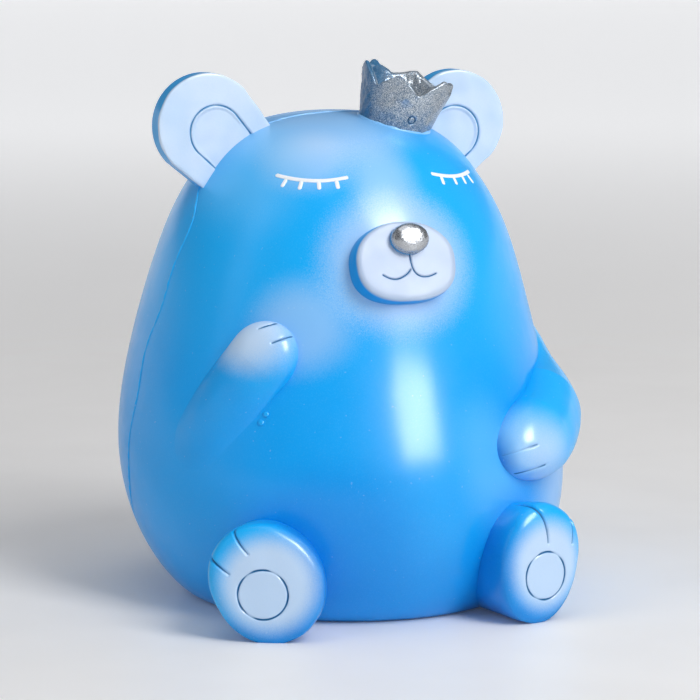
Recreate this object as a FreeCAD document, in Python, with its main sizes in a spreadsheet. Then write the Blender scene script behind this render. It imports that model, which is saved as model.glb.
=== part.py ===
import FreeCAD, Part

# A piggy bank in the shape of a sitting bear with a small crown, in millimetres.
# +Z is up, the bear faces -Y, and +X is the bear's left. The origin is on the ground,
# under the middle of the whole object.
#
# The body is an egg that leans back as it rises: round level sections whose centres
# drift along Y. It is moulded as two shells that meet on a sloping parting plane, with
# a tongue on the front shell and a rebate in the back one. Every other piece is cut to
# the egg's surface and held by round pegs in sockets through the shell wall. The
# stopper in the base is the only piece that moves.

import math
import os

import Sketcher
from FreeCAD import Placement, Rotation, Vector

SIZES = (
    ("stand_x", -0.5, "egg's centre line at the ground, from the origin"),
    ("stand_y", -4.4, "egg's centre line at the ground, from the origin"),
    ("wall", 2.4, "thickness of the shells"),
    ("base_thickness", 3.0, "thickness of the flat base"),
    ("parting_y", 14.0, "parting plane at the ground, behind the egg's centre line"),
    ("parting_lean", 5.1, "degrees that the parting plane leans forward"),
    ("lip_width", 3.0, "how far the tongue reaches past the parting plane"),
    ("lip_gap", 0.1, "clearance between tongue and rebate"),
    ("slot_width", 38.0, "coin slot, across"),
    ("slot_height", 5.0, "coin slot, up and down"),
    ("slot_z", 108.0, "middle of the coin slot"),
    ("slot_start", 30.0, "where the slot's cut starts, behind the egg's centre line"),
    ("hole_y", -10.0, "stopper hole, from the egg's centre line"),
    ("hole_radius", 18.0, "stopper hole"),
    ("recess_radius", 21.0, "recess that takes the stopper's flange"),
    ("recess_depth", 1.6, "recess that takes the stopper's flange"),
    ("collar_radius", 22.5, "collar around the stopper hole, inside the base"),
    ("collar_top", 7.0, "top of that collar above the ground"),
    ("plug_lift", 0.2, "stopper's face above the ground"),
    ("plug_neck_radius", 17.8, "stopper's neck"),
    ("plug_flange_radius", 20.6, "stopper's flange"),
    ("plug_flange", 1.3, "thickness of the stopper's flange"),
    ("plug_length", 8.5, "stopper, flange included"),
    ("grip_depth", 3.4, "finger recesses in the stopper"),
    ("grip_radius", 12.5, "finger recesses in the stopper"),
    ("grip_web", 5.0, "web between the finger recesses"),
    ("peg_gap", 0.1, "clearance of every peg in its socket"),
    ("peg_reach", 4.5, "how far a peg reaches inside the egg's surface"),
    ("piece_gap", 0.3, "clearance between the crown and the ear beside it"),
    ("ear_radius", 15.8, "rounded top of the ears"),
    ("ear_length", 26.0, "from the middle of an ear to its buried root"),
    ("ear_root", 25.0, "width of an ear at its root"),
    ("ear_thickness", 6.0, "ears"),
    ("ear_round", 1.4, "rounding of the ears' edges"),
    ("ear_tilt", 44.0, "degrees that each ear leans outward"),
    ("ear_peg_radius", 2.6, "pegs of the ears"),
    ("ear_peg_root", 6.0, "how far the pegs of the ears reach into them"),
    ("crown_base_radius", 11.0, "crown, at its buried base"),
    ("crown_top_radius", 14.0, "crown, at its points"),
    ("crown_height", 19.0, "crown, from its buried base to its points"),
    ("crown_wall", 1.7, "crown's wall"),
    ("crown_cup", 9.0, "depth of the crown's hollow"),
    ("crown_notch", 5.4, "depth of the notches between the crown's points"),
    ("crown_peg_radius", 3.0, "peg of the crown"),
    ("crown_peg_root", 4.0, "how far the peg of the crown reaches into it"),
    ("crown_peg_front", 5.5, "peg of the crown, in front of the crown's axis"),
    ("crown_peg_height", 4.0, "where the peg of the crown enters the head, from the crown's base"),
    ("muzzle_width", 31.0, "muzzle plate"),
    ("muzzle_height", 24.6, "muzzle plate"),
    ("muzzle_lean", 17.0, "degrees that the muzzle plate leans back"),
    ("muzzle_depth", 16.0, "muzzle plate before it is cut to the egg"),
    ("muzzle_round", 1.6, "rounding of the muzzle's front edge"),
    ("muzzle_peg_radius", 2.5, "pegs of the muzzle"),
    ("muzzle_peg_x", 7.5, "pegs of the muzzle, from its middle"),
    ("muzzle_peg_depth", 5.0, "where the pegs of the muzzle enter the head, behind its face"),
    ("muzzle_peg_root", 2.0, "how far the pegs of the muzzle reach into it"),
    ("nose_half_width", 5.8, "nose"),
    ("nose_half_height", 4.5, "nose"),
    ("nose_bulge", 4.0, "nose, out of the muzzle's face"),
    ("nose_rise", 6.4, "nose above the middle of the muzzle"),
    ("nose_peg_radius", 1.8, "peg of the nose"),
    ("nose_peg_depth", 3.0, "peg of the nose, into the muzzle"),
    ("right_elbow_radius", 12.5, "right arm"),
    ("right_paw_radius", 10.0, "right arm"),
    ("left_shoulder_radius", 8.0, "left arm"),
    ("left_elbow_radius", 14.0, "left arm"),
    ("left_paw_radius", 10.0, "left arm"),
    ("arm_peg_radius", 3.0, "pegs of the arms"),
    ("arm_peg_root", 1.0, "how far the pegs of the arms reach into them"),
    ("foot_radius", 17.4, "feet"),
    ("foot_depth", 34.0, "feet before they are cut to the egg"),
    ("foot_round", 8.5, "rounding of the feet's front edge"),
    ("right_foot_turn", -27.0, "degrees that the right foot turns from straight ahead"),
    ("left_foot_turn", 23.0, "degrees that the left foot turns from straight ahead"),
    ("foot_peg_radius", 3.5, "pegs of the feet"),
    ("foot_peg_root", 3.0, "how far the pegs of the feet reach into them"),
)

# Points from the egg's centre line at the ground: across, back and up.
POINTS = (
    ("right_ear", (-43.0, 6.0, 142.5)),
    ("left_ear", (38.0, 6.0, 142.0)),
    ("crown_seat", (13.8, -1.4, 139.0)),
    ("crown_tip", (18.3, -3.2, 156.3)),
    ("muzzle", (-0.8, -46.2, 105.6)),
    ("right_elbow", (-50.0, -17.5, 51.0)),
    ("right_paw", (-40.0, -33.0, 80.0)),
    ("left_shoulder", (52.5, -7.0, 84.0)),
    ("left_elbow", (55.5, -10.0, 60.0)),
    ("left_paw", (34.8, -48.3, 48.5)),
    ("right_foot", (-51.5, -60.5, 17.2)),
    ("left_foot", (35.5, -65.0, 17.2)),
)

# Level sections of the egg from the ground up: height, radius, and how far the middle of
# the section lies behind the centre line. The last row is the pole that closes the egg.
EGG = (
    (0.0, 49.5, -0.5),
    (4.0, 54.2, 0.3),
    (12.0, 60.2, 1.8),
    (26.0, 66.1, 4.6),
    (42.0, 68.4, 7.9),
    (60.0, 66.4, 11.6),
    (80.0, 61.6, 13.5),
    (100.0, 56.0, 13.0),
    (116.0, 50.0, 12.6),
    (130.0, 41.4, 13.0),
    (140.0, 30.1, 13.5),
    (144.5, 16.0, 13.8),
    (145.9, 0.0, 13.8),
)

CROWN_POINTS = 6
SEAT_STEP = 0.05  # of the search for the egg's surface along a line
SEAT_REACH = 30.0  # how far outside the egg that search starts
STEEP = 0.9  # a direction with a larger upward share is measured from the front instead
FAR = 300.0  # longer than the whole object
OVERRUN = 1.0  # how far a cutting tool, or a piece to be joined, runs past a surface
FLAT = 1e-6  # an edge lower than this is level
FRONT = Vector(0, -1, 0)
UP = Vector(0, 0, 1)
MIDDLE = Vector(0, 0, 0)


def cells():
    """Every cell of the spreadsheet: its alias, value and meaning."""
    yield from SIZES
    for name, place in POINTS:
        for axis, value in zip("xyz", place):
            yield f"{name}_{axis}", value, f"{name.replace('_', ' ')}, {axis}"
    for number, row in enumerate(EGG):
        for measure, value in zip(("height", "radius", "drift"), row):
            yield f"egg_{measure}_{number}", value, f"egg's section {number}, {measure}"


doc = FreeCAD.newDocument("bear_bank")
sheet = doc.addObject("Spreadsheet::Sheet", "sizes")
for line, (alias, value, meaning) in enumerate(cells(), start=1):
    sheet.set(f"A{line}", meaning)
    sheet.set(f"B{line}", str(value))
    sheet.setAlias(f"B{line}", alias)
doc.recompute()


def size(alias):
    """The value of one cell of the spreadsheet."""
    return float(getattr(sheet, alias))


def stand():
    """The foot of the egg's centre line."""
    return Vector(size("stand_x"), size("stand_y"), 0)


def point(name):
    """One of the named points, in the object's frame."""
    return stand() + Vector(*(size(f"{name}_{axis}") for axis in "xyz"))


def egg_axis(height):
    """The middle of the egg's level section at a height."""
    for (low, _, low_drift), (high, _, high_drift) in zip(EGG, EGG[1:]):
        if height <= high:
            part = (height - low) / (high - low)
            return stand() + Vector(0, low_drift + part * (high_drift - low_drift), height)
    return stand() + Vector(0, EGG[-1][2], height)


def egg_radius(height):
    """The radius of the egg's level section at a height."""
    for (low, low_radius, _), (high, high_radius, _) in zip(EGG, EGG[1:]):
        if height <= high:
            return low_radius + (height - low) / (high - low) * (high_radius - low_radius)
    return 0.0


def aimed(origin, forward, upward=UP):
    """A placement at a point, with its Z axis forward and its Y axis as near upward as it can."""
    return Placement(origin, Rotation(MIDDLE, upward, forward, "ZYX"))


def bind(thing, expressions):
    """Tie properties of one object to the spreadsheet."""
    for name, expression in expressions.items():
        thing.setExpression(name, expression)
    return thing


def new_body(name):
    """An empty body."""
    return doc.addObject("PartDesign::Body", name)


def new_sketch(body, name, role="XY_Plane"):
    """An empty sketch on one of the body's own origin planes."""
    sketch = body.newObject("Sketcher::SketchObject", name)
    plane = next(part for part in body.Origin.OriginFeatures if part.Role == role)
    sketch.AttachmentSupport = [(plane, "")]
    sketch.MapMode = "FlatFace"
    return sketch


def constrain(sketch, *constraints):
    """Add constraints; one that ends in (name, expression) is driven by the spreadsheet."""
    for constraint in constraints:
        if isinstance(constraint[-1], tuple):
            name, expression = constraint[-1]
            number = sketch.addConstraint(Sketcher.Constraint(*constraint[:-1]))
            sketch.renameConstraint(number, name)
            sketch.setExpression("Constraints." + name, expression)
        else:
            sketch.addConstraint(Sketcher.Constraint(*constraint))


def circle_sketch(body, name, radius, height="0", drift="0"):
    """A circle above the body's XY plane, its sizes given as expressions."""
    sketch = new_sketch(body, name)
    sketch.addGeometry(Part.Circle(MIDDLE, UP, 10.0), False)
    constrain(sketch, ("Coincident", 0, 3, -1, 1), ("Radius", 0, 10.0, ("radius", radius)))
    bind(sketch, {".AttachmentOffset.Base.z": height, ".AttachmentOffset.Base.x": drift})
    return sketch


def cylinder(name, radius, height, place):
    """A round primitive whose radius and height are expressions."""
    made = bind(doc.addObject("Part::Cylinder", name), {"Radius": radius, "Height": height})
    made.Placement = place
    return made


def box(name, length, width, height, place):
    """A block primitive whose sides are expressions."""
    sides = {"Length": length, "Width": width, "Height": height}
    made = bind(doc.addObject("Part::Box", name), sides)
    made.Placement = place
    return made


def cut(name, base, tool):
    """What is left of one object once another is taken away."""
    made = doc.addObject("Part::Cut", name)
    made.Base = base
    made.Tool = tool
    return made


def joined(name, pieces):
    """Several objects as one solid."""
    made = doc.addObject("Part::MultiFuse", name)
    made.Shapes = pieces
    return made


def common(name, first, second):
    """What two objects share."""
    made = doc.addObject("Part::MultiCommon", name)
    made.Shapes = [first, second]
    return made


# ---------------------------------------------------------------- the egg and its shells


def egg(name, inset="0"):
    """The egg as a loft through its sections, moved inward by an expression.

    The body is turned so that the sections drift along its own X axis and the loft's
    seam runs up the bear's back, across the parting plane and not along it.
    """
    body = new_body(name)
    body.Placement = Placement(stand(), Rotation(UP, 90.0))
    sketches = []
    last = len(EGG) - 1
    for number in range(last):
        height, radius, drift = (f"sizes.egg_{m}_{number}" for m in ("height", "radius", "drift"))
        if number == 0:
            height += f" + ({inset}) * sizes.base_thickness / sizes.wall"
        else:
            rise = EGG[number + 1][0] - EGG[number - 1][0]
            run = EGG[number + 1][1] - EGG[number - 1][1]
            slope = math.hypot(rise, run)
            radius += f" - ({inset}) * {rise / slope:.4f}"
            height += f" + ({inset}) * {run / slope:.4f}"
        sketches.append(circle_sketch(body, f"{name}_section_{number}", radius, height, drift))
    pole = new_sketch(body, name + "_pole")
    pole.addGeometry(Part.Point(MIDDLE), False)
    constrain(pole, ("Coincident", 0, 1, -1, 1))
    bind(pole, {
        ".AttachmentOffset.Base.z": f"sizes.egg_height_{last} - ({inset})",
        ".AttachmentOffset.Base.x": f"sizes.egg_drift_{last}",
    })
    doc.recompute()
    loft = body.newObject("PartDesign::AdditiveLoft", name + "_loft")
    loft.Profile = sketches[0]
    loft.Sections = sketches[1:] + [pole]
    return body


def behind_parting(name, start, width):
    """A tall slab along the parting plane, from start behind it and width thick."""
    turn = Rotation(Vector(1, 0, 0), size("parting_lean"))
    corner = stand() + Vector(0, size("parting_y"), 0) + turn * Vector(-FAR / 2, start, -FAR / 3)
    return box(name, str(FAR), width, str(FAR), Placement(corner, turn))


outer = egg("outer_egg")
hollow = egg("inner_egg", "sizes.wall")
tongue_egg = egg("tongue_egg", "(sizes.wall + sizes.lip_gap) / 2")
rebate_egg = egg("rebate_egg", "(sizes.wall - sizes.lip_gap) / 2")

front_half = cut("front_half", outer, behind_parting("all_behind", 0.0, str(FAR)))
tongue_slab = behind_parting("tongue_slab", -OVERRUN, f"sizes.lip_width + {OVERRUN}")
tongue = common("tongue", tongue_egg, tongue_slab)
front_hollowed = cut("front_hollowed", joined("front_solid", [front_half, tongue]), hollow)

back_half = common("back_half", outer, behind_parting("back_block", 0.0, str(FAR)))
rebate_width = f"sizes.lip_width + sizes.lip_gap + {OVERRUN}"
rebate_slab = behind_parting("rebate_slab", -OVERRUN, rebate_width)
rebate = common("rebate", rebate_egg, rebate_slab)
back_hollowed = cut("back_hollowed", cut("back_stepped", back_half, rebate), hollow)


# ---------------------------------------------------------------- pegs and their sockets


def shifted(place, x, y, z):
    """A place moved along its own axes."""
    return place.multiply(Placement(Vector(x, y, z), Rotation()))


def peg(name, radius, root, place):
    """A round peg into the egg from a place on its surface, whose Z axis points outward."""
    start = shifted(place, 0, 0, -size("peg_reach"))
    return cylinder(name, radius, f"sizes.peg_reach + {root}", start)


def socket(name, radius, place):
    """The hole for such a peg, through the shell's wall."""
    start = shifted(place, 0, 0, -size("peg_reach") - OVERRUN)
    return cylinder(name, f"{radius} + sizes.peg_gap", "2 * sizes.peg_reach", start)


def is_inside(place):
    """Whether a point lies inside the egg."""
    return (place - egg_axis(place.z)).Length < egg_radius(place.z)


def seat(start, inward):
    """Where a line from a point outside the egg enters it, with Z pointing back out."""
    place = Vector(start)
    while not is_inside(place):
        place += inward * SEAT_STEP
    return aimed(place, -inward, UP if abs(inward.z) < STEEP else FRONT)


def level_seat(name):
    """Where the level line from the egg's axis through a named point leaves the egg."""
    place = point(name)
    inward = (egg_axis(place.z) - place).normalize()
    return seat(place - inward * SEAT_REACH, inward)


front_sockets = []
back_sockets = []


# ---------------------------------------------------------------- crown


def crown_frame():
    """The middle of the crown's buried base, with Z along its axis and Y towards its front."""
    seat, tip = point("crown_seat"), point("crown_tip")
    return aimed(seat, (tip - seat).normalize(), FRONT)


def crown_room():
    """The crown's outside without its notches, and a little wider."""
    cone = bind(doc.addObject("Part::Cone", "crown_room"), {
        "Radius1": "sizes.crown_base_radius + sizes.piece_gap",
        "Radius2": "sizes.crown_top_radius + sizes.piece_gap",
        "Height": "sizes.crown_height",
    })
    cone.Placement = crown_frame()
    return cone


def crown():
    """A flared cup with notches around its top, its foot cut to the head."""
    body = new_body("crown_blank")
    body.Placement = crown_frame()
    foot = circle_sketch(body, "crown_foot", "sizes.crown_base_radius")
    top = circle_sketch(body, "crown_top", "sizes.crown_top_radius", "sizes.crown_height")
    doc.recompute()
    flare = body.newObject("PartDesign::AdditiveLoft", "crown_flare")
    flare.Profile = foot
    flare.Sections = [top]
    floor = circle_sketch(body, "crown_floor", "sizes.crown_base_radius - sizes.crown_wall",
                          "sizes.crown_height - sizes.crown_cup")
    brim = circle_sketch(body, "crown_brim", "sizes.crown_top_radius - sizes.crown_wall",
                         "sizes.crown_height")
    doc.recompute()
    cup = body.newObject("PartDesign::SubtractiveLoft", "crown_cup")
    cup.Profile = floor
    cup.Sections = [brim]
    doc.recompute()
    notch = new_sketch(body, "crown_notch", "XZ_Plane")
    height, depth = size("crown_height"), size("crown_notch")
    half = size("crown_top_radius") * math.sin(math.pi / CROWN_POINTS)
    corners = [Vector(0, height - depth, 0), Vector(half, height, 0), Vector(-half, height, 0)]
    for first, second in zip(corners, corners[1:] + corners[:1]):
        notch.addGeometry(Part.LineSegment(first, second), False)
    constrain(notch, ("Coincident", 0, 2, 1, 1), ("Coincident", 1, 2, 2, 1),
              ("Coincident", 2, 2, 0, 1), ("PointOnObject", 0, 1, -2),
              ("Symmetric", 1, 1, 1, 2, -2),
              ("DistanceY", -1, 1, 0, 1, height - depth,
               ("valley", "sizes.crown_height - sizes.crown_notch")),
              ("DistanceY", 0, 1, 0, 2, depth, ("depth", "sizes.crown_notch")),
              ("DistanceX", 1, 2, 1, 1, 2 * half))
    doc.recompute()
    pocket = body.newObject("PartDesign::Pocket", "crown_notches")
    pocket.Profile = notch
    pocket.Midplane = True
    bind(pocket, {"Length": "3 * sizes.crown_top_radius"})
    doc.recompute()
    around = body.newObject("PartDesign::PolarPattern", "crown_points")
    around.Originals = [pocket]
    around.Axis = (next(f for f in body.Origin.OriginFeatures if f.Role == "Z_Axis"), [""])
    around.Occurrences = CROWN_POINTS // 2
    around.Angle = 360.0 / CROWN_POINTS * (CROWN_POINTS // 2 - 1)
    body.Tip = around
    place = shifted(crown_frame(), 0, size("crown_peg_front"), size("crown_peg_height"))
    front_sockets.append(socket("crown_socket", "sizes.crown_peg_radius", place))
    held = peg("crown_peg", "sizes.crown_peg_radius", "sizes.crown_peg_root", place)
    return joined("crown", [cut("crown_cut", body, outer), held])


crown_piece = crown()


# ---------------------------------------------------------------- ears


def ear_outline(body, name):
    """A round top on two straight sides that draw in towards the root."""
    sketch = new_sketch(body, name)
    radius = size("ear_radius")
    half_root = size("ear_root") / 2
    left, right = Vector(-radius, 0, 0), Vector(radius, 0, 0)
    low_left = Vector(-half_root, -size("ear_length"), 0)
    low_right = Vector(half_root, -size("ear_length"), 0)
    top = Part.ArcOfCircle(Part.Circle(MIDDLE, UP, radius), 0, math.pi)
    sketch.addGeometry([top, Part.LineSegment(right, low_right),
                        Part.LineSegment(low_right, low_left),
                        Part.LineSegment(low_left, left)], False)
    constrain(
        sketch,
        ("Coincident", 0, 3, -1, 1),
        ("PointOnObject", 0, 1, -1),
        ("PointOnObject", 0, 2, -1),
        ("Coincident", 0, 1, 1, 1),
        ("Coincident", 1, 2, 2, 1),
        ("Coincident", 2, 2, 3, 1),
        ("Coincident", 3, 2, 0, 2),
        ("Symmetric", 2, 1, 2, 2, -2),
        ("Radius", 0, radius, ("radius", "sizes.ear_radius")),
        ("DistanceX", 2, 2, 2, 1, 2 * half_root, ("root", "sizes.ear_root")),
        ("DistanceY", 2, 1, -1, 1, size("ear_length"), ("length", "sizes.ear_length")),
    )
    return sketch


def ear(name, outward, neighbours):
    """One ear, cut to its neighbours; outward is -1 for the right ear and 1 for the left one."""
    body = new_body(name + "_blank")
    lean = math.radians(size("ear_tilt"))
    up = Vector(outward * math.sin(lean), 0, math.cos(lean))
    body.Placement = aimed(point(name), FRONT, up)
    sketch = ear_outline(body, name + "_outline")
    pad = body.newObject("PartDesign::Pad", name + "_pad")
    pad.Profile = sketch
    pad.Reversed = True
    bind(pad, {"Length": "sizes.ear_thickness"})
    doc.recompute()
    root = -size("ear_length") + OVERRUN
    edges = [f"Edge{number}" for number, edge in enumerate(pad.Shape.Edges, start=1)
             if edge.CenterOfMass.y > root and edge.BoundBox.ZLength < FLAT]
    soft = body.newObject("PartDesign::Fillet", name + "_rounding")
    soft.Base = (pad, edges)
    bind(soft, {"Radius": "sizes.ear_round"})
    root_place = seat(point(name) - FRONT * (size("ear_thickness") / 2), -up)
    back_sockets.append(socket(name + "_socket", "sizes.ear_peg_radius", root_place))
    held = peg(name + "_peg", "sizes.ear_peg_radius", "sizes.ear_peg_root", root_place)
    return joined(name, [cut(name + "_cut", body, neighbours), held])


right_ear = ear("right_ear", -1, outer)
left_ear = ear("left_ear", 1, joined("left_ear_room", [outer, crown_room()]))


# ---------------------------------------------------------------- muzzle and nose


def muzzle_frame():
    """The middle of the muzzle's face, with Z out of it and Y up its slope."""
    lean = math.radians(size("muzzle_lean"))
    return aimed(point("muzzle"), Vector(0, -math.cos(lean), math.sin(lean)), UP)


def muzzle_plate():
    """An oval plate with a rounded front edge."""
    body = new_body("muzzle_blank")
    body.Placement = muzzle_frame()
    sketch = new_sketch(body, "muzzle_outline")
    half_width, half_height = size("muzzle_width") / 2, size("muzzle_height") / 2
    oval = Part.Ellipse(Vector(half_width, 0, 0), Vector(0, half_height, 0), MIDDLE)
    sketch.addGeometry(oval, False)
    sketch.exposeInternalGeometry(0)
    constrain(sketch, ("Coincident", 0, 3, -1, 1), ("Horizontal", 1),
              ("Distance", 1, 2 * half_width, ("width", "sizes.muzzle_width")),
              ("Distance", 2, 2 * half_height, ("height", "sizes.muzzle_height")))
    pad = body.newObject("PartDesign::Pad", "muzzle_pad")
    pad.Profile = sketch
    pad.Reversed = True
    bind(pad, {"Length": "sizes.muzzle_depth"})
    doc.recompute()
    rim = [f"Edge{number}" for number, edge in enumerate(pad.Shape.Edges, start=1)
           if edge.BoundBox.ZMin > -FLAT]
    soft = body.newObject("PartDesign::Fillet", "muzzle_rounding")
    soft.Base = (pad, rim)
    bind(soft, {"Radius": "sizes.muzzle_round"})
    return body


def nose_solid(plate):
    """Half of an ellipsoid on the muzzle's face, with a peg into the muzzle."""
    place = shifted(muzzle_frame(), 0, size("nose_rise"), 0)
    ball = bind(doc.addObject("Part::Ellipsoid", "nose_ball"), {
        "Radius1": "sizes.nose_bulge",
        "Radius2": "sizes.nose_half_width",
        "Radius3": "sizes.nose_half_height",
    })
    ball.Placement = place
    depth = size("nose_peg_depth")
    held = cylinder("nose_peg", "sizes.nose_peg_radius", f"sizes.nose_peg_depth + {OVERRUN}",
                    shifted(place, 0, 0, -depth))
    room = cylinder("nose_socket", "sizes.nose_peg_radius + sizes.peg_gap",
                    f"sizes.nose_peg_depth + sizes.peg_gap + {OVERRUN}",
                    shifted(place, 0, 0, -depth - size("peg_gap")))
    return joined("nose", [cut("nose_cut", ball, plate), held]), room


def muzzle_solid(plate, room):
    """The muzzle plate, cut to the egg, with two pegs and a socket for the nose."""
    pieces = [cut("muzzle_cut", plate, outer)]
    for number, side in enumerate((-1, 1)):
        offset, depth = side * size("muzzle_peg_x"), size("muzzle_peg_depth")
        place = shifted(muzzle_frame(), offset, 0, -depth)
        front_sockets.append(socket(f"muzzle_socket_{number}", "sizes.muzzle_peg_radius", place))
        pieces.append(peg(f"muzzle_peg_{number}", "sizes.muzzle_peg_radius",
                          "sizes.muzzle_peg_root", place))
    return cut("muzzle", joined("muzzle_with_pegs", pieces), room)


plate = muzzle_plate()
nose, nose_room = nose_solid(plate)
muzzle = muzzle_solid(plate, nose_room)


# ---------------------------------------------------------------- arms


def link(name, near, near_radius, far, far_radius):
    """A tapered capsule between two points."""
    body = new_body(name)
    along = far - near
    length = along.Length
    first, last = size(near_radius), size(far_radius)
    body.Placement = aimed(near, along, UP)
    sine = (first - last) / length
    cosine = math.sqrt(1 - sine * sine)
    tilt = math.asin(sine)
    low = Vector(first * cosine, first * sine, 0)
    high = Vector(last * cosine, length + last * sine, 0)
    bottom, top = Vector(0, -first, 0), Vector(0, length + last, 0)
    sketch = new_sketch(body, name + "_profile", "XZ_Plane")
    across = Vector(0, 0, 1)
    sketch.addGeometry([
        Part.ArcOfCircle(Part.Circle(MIDDLE, across, first), -math.pi / 2, tilt),
        Part.LineSegment(low, high),
        Part.ArcOfCircle(Part.Circle(Vector(0, length, 0), across, last), tilt, math.pi / 2),
        Part.LineSegment(top, bottom),
    ], False)
    constrain(
        sketch,
        ("Coincident", 0, 3, -1, 1),
        ("PointOnObject", 2, 3, -2),
        ("Coincident", 2, 2, 3, 1),
        ("Coincident", 3, 2, 0, 1),
        ("PointOnObject", 2, 2, -2),
        ("PointOnObject", 0, 1, -2),
        ("Tangent", 0, 2, 1, 1),
        ("Tangent", 1, 2, 2, 1),
        ("Radius", 0, first, ("near", "sizes." + near_radius)),
        ("Radius", 2, last, ("far", "sizes." + far_radius)),
        ("DistanceY", -1, 1, 2, 3, length),
    )
    turned = body.newObject("PartDesign::Revolution", name + "_turned")
    turned.Profile = sketch
    turned.ReferenceAxis = (sketch, ["V_Axis"])
    turned.Angle = 360.0
    return body


def arm(name, joints):
    """An arm of one or more links, cut to the egg and held by a peg at each joint."""
    pieces = []
    for number, (near, far) in enumerate(zip(joints, joints[1:])):
        pieces.append(link(f"{name}_link_{number}", point(near), near + "_radius",
                           point(far), far + "_radius"))
    doc.recompute()
    whole = joined(name + "_whole", pieces) if len(pieces) > 1 else pieces[0]
    held = [cut(name + "_cut", whole, outer)]
    for joint in joints[-2:]:
        place = level_seat(joint)
        front_sockets.append(socket(joint + "_socket", "sizes.arm_peg_radius", place))
        held.append(peg(joint + "_peg", "sizes.arm_peg_radius", "sizes.arm_peg_root", place))
    return joined(name, held)


right_arm = arm("right_arm", ["right_elbow", "right_paw"])
left_arm = arm("left_arm", ["left_shoulder", "left_elbow", "left_paw"])


# ---------------------------------------------------------------- feet

ground = box("ground", str(FAR), str(FAR), str(FAR),
             Placement(Vector(-FAR / 2, -FAR / 2, -FAR), Rotation()))


def foot(name):
    """A round foot whose face turns outward, cut to the egg and flat on the ground."""
    turn = math.radians(size(name + "_turn"))
    facing = Vector(math.sin(turn), -math.cos(turn), 0)
    body = new_body(name + "_blank")
    body.Placement = aimed(point(name), facing)
    pad = body.newObject("PartDesign::Pad", name + "_pad")
    pad.Profile = circle_sketch(body, name + "_outline", "sizes.foot_radius")
    pad.Reversed = True
    bind(pad, {"Length": "sizes.foot_depth"})
    doc.recompute()
    rim = [f"Edge{number}" for number, edge in enumerate(pad.Shape.Edges, start=1)
           if edge.BoundBox.ZMin > -FLAT]
    soft = body.newObject("PartDesign::Fillet", name + "_rounding")
    soft.Base = (pad, rim)
    bind(soft, {"Radius": "sizes.foot_round"})
    place = level_seat(name)
    front_sockets.append(socket(name + "_socket", "sizes.foot_peg_radius", place))
    held = peg(name + "_peg", "sizes.foot_peg_radius", "sizes.foot_peg_root", place)
    fitted = cut(name + "_fitted", cut(name + "_cut", body, outer), ground)
    return joined(name, [fitted, held])


right_foot = foot("right_foot")
left_foot = foot("left_foot")


# ---------------------------------------------------------------- stopper


def hole_place(height):
    """A place on the axis of the stopper's hole."""
    return Placement(stand() + Vector(0, size("hole_y"), height), Rotation())


def grip_recess(body, name, side):
    """Half a disc, its straight side along the web of the stopper."""
    sketch = new_sketch(body, name)
    radius, half_web = size("grip_radius"), size("grip_web") / 2
    reach = math.sqrt(radius ** 2 - half_web ** 2)
    low, high = Vector(side * half_web, -reach, 0), Vector(side * half_web, reach, 0)
    middle = Vector(side * radius, 0, 0)
    sketch.addGeometry(Part.Arc(low, middle, high), False)
    sketch.addGeometry(Part.LineSegment(high, low), False)
    start, end = (1, 2) if side > 0 else (2, 1)
    constrain(
        sketch,
        ("Coincident", 0, 3, -1, 1),
        ("Coincident", 0, end, 1, 1),
        ("Coincident", 0, start, 1, 2),
        ("Vertical", 1),
        ("Radius", 0, radius, ("radius", "sizes.grip_radius")),
        ("Distance", -1, 1, 1, half_web, ("web", "sizes.grip_web / 2")),
    )
    return sketch


def stopper():
    """A flanged plug with two finger recesses in its face."""
    body = new_body("base_plug")
    body.Placement = hole_place(size("plug_lift"))
    flange = body.newObject("PartDesign::Pad", "plug_flange_pad")
    flange.Profile = circle_sketch(body, "plug_flange_outline", "sizes.plug_flange_radius")
    bind(flange, {"Length": "sizes.plug_flange"})
    neck = body.newObject("PartDesign::Pad", "plug_neck_pad")
    neck.Profile = circle_sketch(body, "plug_neck_outline", "sizes.plug_neck_radius")
    bind(neck, {"Length": "sizes.plug_length"})
    doc.recompute()
    for number, side in enumerate((-1, 1)):
        recess = body.newObject("PartDesign::Pocket", f"plug_grip_{number}")
        recess.Profile = grip_recess(body, f"plug_grip_outline_{number}", side)
        recess.Reversed = True
        bind(recess, {"Length": "sizes.grip_depth"})
        doc.recompute()
    return body


base_plug = stopper()


# ---------------------------------------------------------------- the two shells, finished

collar = cylinder("collar", "sizes.collar_radius", f"sizes.collar_top - {OVERRUN}",
                  hole_place(OVERRUN))
hole = cylinder("hole", "sizes.hole_radius", f"sizes.collar_top + {2 * OVERRUN}",
                hole_place(-OVERRUN))
recess = cylinder("recess", "sizes.recess_radius", f"sizes.recess_depth + {OVERRUN}",
                  hole_place(-OVERRUN))
front_tools = joined("front_tools", [hole, recess] + front_sockets)
front_shell = cut("front_shell", joined("front_blank", [front_hollowed, collar]), front_tools)

slot_floor = size("slot_z") - size("slot_height") / 2
corner = stand() + Vector(-size("slot_width") / 2, size("slot_start"), slot_floor)
slot = box("slot", "sizes.slot_width", str(FAR), "sizes.slot_height", Placement(corner, Rotation()))
back_shell = cut("back_shell", back_hollowed, joined("back_tools", [slot] + back_sockets))


# ---------------------------------------------------------------- check and write

NODES = {
    "front_shell": front_shell,
    "back_shell": back_shell,
    "right_ear": right_ear,
    "left_ear": left_ear,
    "crown": crown_piece,
    "muzzle": muzzle,
    "nose": nose,
    "right_arm": right_arm,
    "left_arm": left_arm,
    "right_foot": right_foot,
    "left_foot": left_foot,
    "base_plug": base_plug,
}

doc.recompute()
faults = [item.Name for item in doc.Objects if {"Invalid", "Error"} & set(item.State)]
for node, item in NODES.items():
    item.Label = node
    shape = item.Shape
    if shape.isNull() or not shape.isValid() or len(shape.Solids) != 1:
        faults.append(node)
if faults:
    raise RuntimeError("failed objects: " + ", ".join(faults))

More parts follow.
